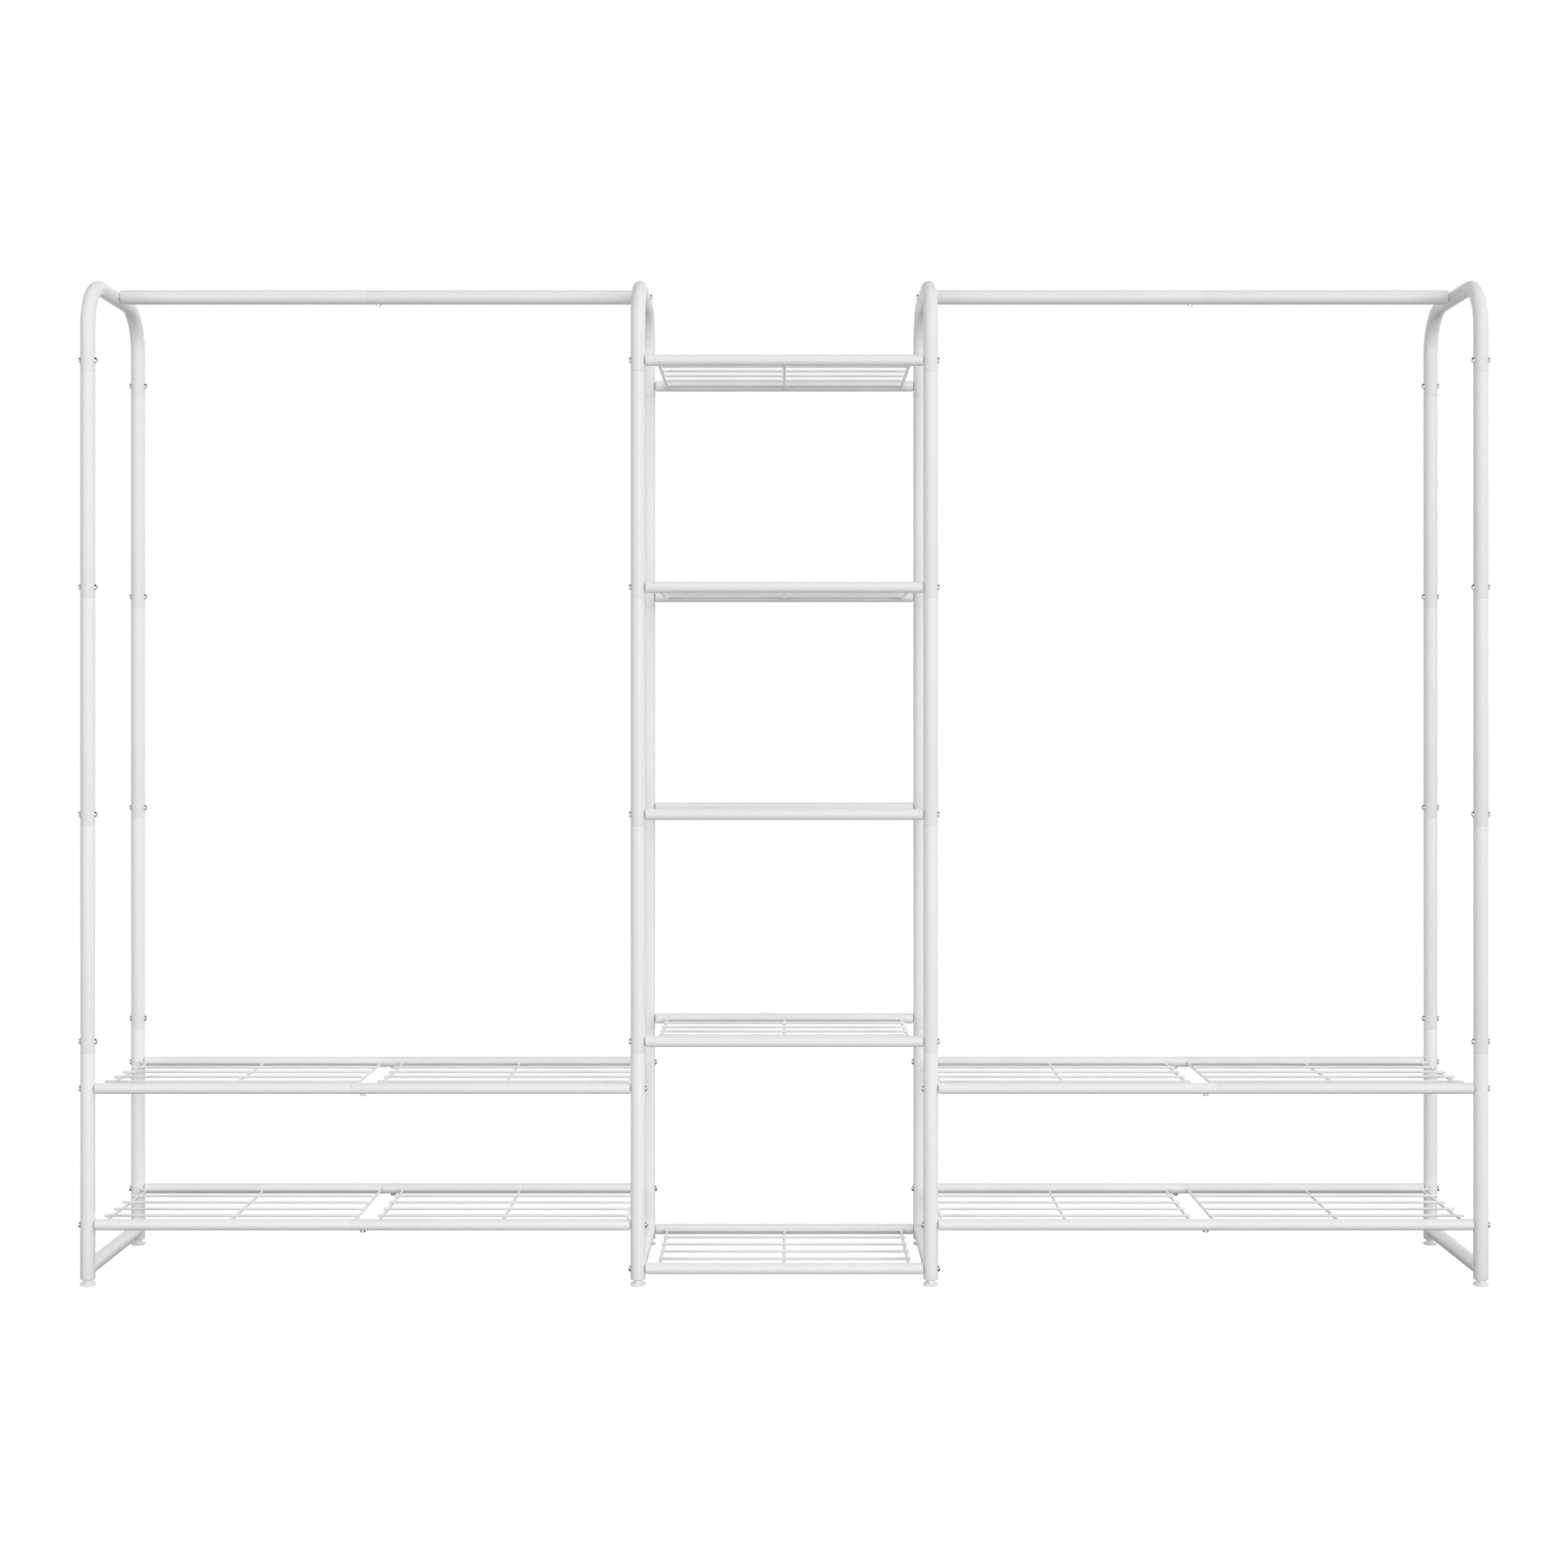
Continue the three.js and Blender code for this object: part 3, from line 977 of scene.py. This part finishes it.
def with_socket(name, body, seat):
    """A button head seated at -X, with the hexagon socket cut into its crown."""
    profile = [(radius, along + seat) for radius, along in hexagon_socket]
    socket = turned(profile, socket_sides, towards_x)
    return worked(name, body, ("DIFFERENCE", socket))


def button_bolt(name, seat, tip):
    """A bolt with a domed head."""
    return with_socket(name, screwed_in(button_head, seat, tip), seat)


def cheese_screw(name, seat, tip):
    """A short screw with a cylindrical head and a slot across it."""
    head = [
        (0, -cheese_height),
        *arc(cheese_radius - cheese_edge, cheese_edge - cheese_height, cheese_edge, -quarter, 0),
        (cheese_radius, -head_edge),
        (cheese_radius - head_edge, 0),
    ]
    skin = bmesh.new()
    bmesh.ops.create_cube(skin, size=MM)
    longer_than_head = 3 * cheese_radius
    size = (2 * slot_depth, longer_than_head, slot_width)
    bmesh.ops.scale(skin, vec=size, verts=skin.verts)
    bmesh.ops.translate(skin, vec=((seat - cheese_height) * MM, 0, 0), verts=skin.verts)
    return worked(name, screwed_in(head, seat, tip), ("DIFFERENCE", mesh_of(skin, "slot")))


sleeve_nut = with_socket(
    "sleeve_nut",
    turned(
        [
            *((radius, along - tube_radius) for radius, along in button_head),
            (sleeve_radius, -tube_radius),
            (sleeve_radius, -tube_radius + tube_wall),
            (0, -tube_radius + tube_wall),
        ],
        small_sides,
        towards_x,
    ),
    -tube_radius,
)
through_bolt = button_bolt("through_bolt", -tube_radius, tube_radius - 2 * tube_wall)
plug_bolt = button_bolt("plug_bolt", -tube_radius, rail_start + bolt_reach)
joint_screws = {
    "shelf": cheese_screw("bar_joint_screw", -bar_radius, screw_reach - bar_radius),
    "rod": cheese_screw("rod_joint_screw", -tube_radius, screw_reach - tube_radius),
}


def tightened(i, turn):
    """Where the i-th screw came to rest when it was tight: a little back, level or a little on."""
    return (i % 3 - 1) * turn


for name, x in frame_places.items():
    is_outer = "outer" in name
    outward = 0 if name.startswith("left") else 180
    bay_side = outward if is_outer else 180 - outward
    bolts = []
    for leg_name, y in leg_places.items():
        for i, z in enumerate(joint_heights, start=1):
            joint_bolt = through_bolt if is_outer else plug_bolt
            bolts.append((f"{leg_name}_joint_{i}", joint_bolt, y, z, outward))
            if is_outer:
                bolts.append((f"{leg_name}_joint_{i}_nut", sleeve_nut, y, z, 180 - outward))
        for level, z in long_shelf_heights.items():
            bolts.append((f"{leg_name}_{level}_shelf", plug_bolt, y, z, bay_side))
        if not is_outer:
            bolts.append((f"{leg_name}_bottom_shelf", plug_bolt, y, lowest_shelf, outward))
    bolts.append(("rod", plug_bolt, 0, crossbar_height, bay_side))
    for i, (role, mesh, y, z, turn) in enumerate(bolts):
        kind = "" if role.endswith("nut") else "_bolt"
        add_piece(
            f"{name}_{role}{kind}",
            mesh,
            zinc,
            place=(x, y, z),
            turn=(tightened(i, bolt_turn), 0, turn),
        )

mid_bay = (outer_x + tower_x) / 2
for side, x in (("left", -mid_bay), ("right", mid_bay)):
    screws = [("rod", "rod", 0, crossbar_height)]
    for level, z in long_shelf_heights.items():
        for leg_name, y in leg_places.items():
            screws.append((f"{level}_shelf_{leg_name}", "shelf", y, z))
    for i, (role, kind, y, z) in enumerate(screws):
        add_piece(
            f"{side}_{role}_joint_screw",
            joint_screws[kind],
            zinc,
            place=(x, y, z),
            turn=(90 + tightened(i, screw_turn), -90, 0),
        )


# Studio
# A white sweep in a white room, with three large soft lamps in front and one behind, and two black
# sheets that only reflections see, which paint dark reflections into bright metal and gloss. The
# picture's background is white, and the floor keeps the wardrobe's shadow.
floor_width = 30000
floor_drop = 6.2  # clears the feet when they are screwed out
floor_glow = 0.86
floor_shadow = "#8A8A8A"
# A painted pool of light in the bounce grey: this lighter grey round the wardrobe, the far grey
# beyond the radius
painted_pool_grey = "#C8C8C8"
floor_far = "#646464"
painted_pool_radius = 2600
room_bright_side = (0.81, 0.25, -0.52)
room_bright = 1.91
room_dim = 0.38
# The black of the two sheets that paint dark reflections
reflection_black = "#101010"
# Each sheet of painted dark reflection: its place, and its width and depth
dark_reflection_sheets = {
    "dark_reflection_above": ((0, 0, 4300), (10400, 7200)),
    "dark_reflection_below": ((0, 175, 1), (3000, 850)),
}
# Each lamp's place, its width and height, and how many times as bright as white its face is
lamps = {
    "front_left_lamp": ((-3400, -5500, 2000), (2600, 4000), 2.1),
    "front_lamp": ((0, -6500, 2000), (3000, 4000), 0.76),
    "front_right_lamp": ((3400, -5500, 2000), (2600, 4000), 2.3),
    "back_lamp": ((-900, 6500, 1600), (3400, 2400), 4),
}
lamp_aim = (0, 0, 900)
watts_per_area = 4  # of a lamp whose face is as bright as white

# Matt white paper: full white to the eye and in reflections, save where a shadow lies on it, and a
# grey for the light that it bounces back, with a painted pool of light: lighter round the wardrobe.
sweep, tree = new_material("matt_white_paper")
sweep.cycles.emission_sampling = "NONE"


def background_rays(tree):
    """1 for the rays that show the background: to the camera, in a gloss or through glass."""
    path = add_node(tree, "ShaderNodeLightPath").outputs
    mirrored = add_node(
        tree,
        "ShaderNodeMath",
        {0: path["Is Glossy Ray"], 1: path["Is Transmission Ray"]},
        operation="MAXIMUM",
    ).outputs[0]
    return add_node(
        tree, "ShaderNodeMath", {0: path["Is Camera Ray"], 1: mirrored}, operation="MAXIMUM"
    ).outputs[0]


glow = add_node(tree, "ShaderNodeEmission", {"Strength": floor_glow}).outputs[0]
shadowed = add_node(tree, "ShaderNodeBsdfDiffuse", {"Color": linear(floor_shadow)}).outputs[0]
shown = add_node(tree, "ShaderNodeAddShader", {0: glow, 1: shadowed}).outputs[0]
away = add_node(
    tree,
    "ShaderNodeVectorMath",
    {0: add_node(tree, "ShaderNodeTexCoord").outputs["Object"]},
    operation="LENGTH",
).outputs["Value"]
# The painted pool of light: the bounce grey goes from the light grey in the middle to the far grey
# at the radius
painted_pool = add_node(
    tree, "ShaderNodeMapRange", {"Value": away, "From Max": painted_pool_radius * MM}
).outputs[0]
grey = add_node(
    tree,
    "ShaderNodeMix",
    {"Factor": painted_pool, "A": linear(painted_pool_grey), "B": linear(floor_far)},
    data_type="RGBA",
).outputs[2]
bounce = add_node(tree, "ShaderNodeBsdfDiffuse", {"Color": grey}).outputs[0]
paper = add_node(
    tree, "ShaderNodeMixShader", {0: background_rays(tree), 1: bounce, 2: shown}
).outputs[0]
add_node(tree, "ShaderNodeOutputMaterial", {"Surface": paper})


def sheet(name, spot, size, material):
    """A flat sheet of the studio, with its middle at a place."""
    skin = bmesh.new()
    bmesh.ops.create_grid(skin, x_segments=1, y_segments=1, size=MM / 2)
    bmesh.ops.scale(skin, vec=(*size, 1), verts=skin.verts)
    mesh = mesh_of(skin, name)
    mesh.materials.append(material)
    laid = bpy.data.objects.new(name, mesh)
    laid.location = Vector(spot) * MM
    bpy.context.scene.collection.objects.link(laid)
    return laid


floor = sheet("floor", (0, 0, -floor_drop), (floor_width, floor_width), sweep)

# Black sheets above and below that only reflections see: painted dark reflections, which give
# bright metal its dark edges
dark_reflection, tree = new_material("painted_dark_reflection")
black = add_node(tree, "ShaderNodeBsdfDiffuse", {"Color": linear(reflection_black)}).outputs[0]
add_node(tree, "ShaderNodeOutputMaterial", {"Surface": black})
for name, (spot, size) in dark_reflection_sheets.items():
    reflector = sheet(name, spot, size, dark_reflection)
    reflector.visible_camera = reflector.visible_diffuse = reflector.visible_shadow = False
    reflector.visible_transmission = reflector.visible_volume_scatter = False

# The room: white wherever it is seen, and as a light brighter on the right than on the left
world = bpy.data.worlds.new("white_room")
bpy.context.scene.world = world
world.use_nodes = True
tree = world.node_tree
tree.nodes.clear()
direction = add_node(tree, "ShaderNodeTexCoord").outputs["Generated"]
facing = add_node(
    tree, "ShaderNodeVectorMath", {0: direction, 1: room_bright_side}, operation="DOT_PRODUCT"
).outputs["Value"]
brightness = add_node(
    tree,
    "ShaderNodeMapRange",
    {"Value": facing, "From Min": -1, "To Min": room_dim, "To Max": room_bright},
).outputs[0]
room = add_node(tree, "ShaderNodeBackground", {"Strength": brightness}).outputs[0]
white = add_node(tree, "ShaderNodeBackground", {"Color": (1, 1, 1, 1)}).outputs[0]
seen = add_node(
    tree, "ShaderNodeMixShader", {0: background_rays(tree), 1: room, 2: white}
).outputs[0]
add_node(tree, "ShaderNodeOutputWorld", {"Surface": seen})

aim = Vector(lamp_aim) * MM
for name, (spot, size, strength) in lamps.items():
    light = bpy.data.lights.new(name, "AREA")
    light.shape = "RECTANGLE"
    light.size, light.size_y = (side * MM for side in size)
    light.energy = strength * watts_per_area * light.size * light.size_y
    lamp = bpy.data.objects.new(name, light)
    lamp.location = Vector(spot) * MM
    lamp.rotation_euler = (aim - lamp.location).to_track_quat("-Z", "Y").to_euler()
    lamp.visible_camera = False
    lamp.visible_glossy = name != "back_lamp"
    bpy.context.scene.collection.objects.link(lamp)
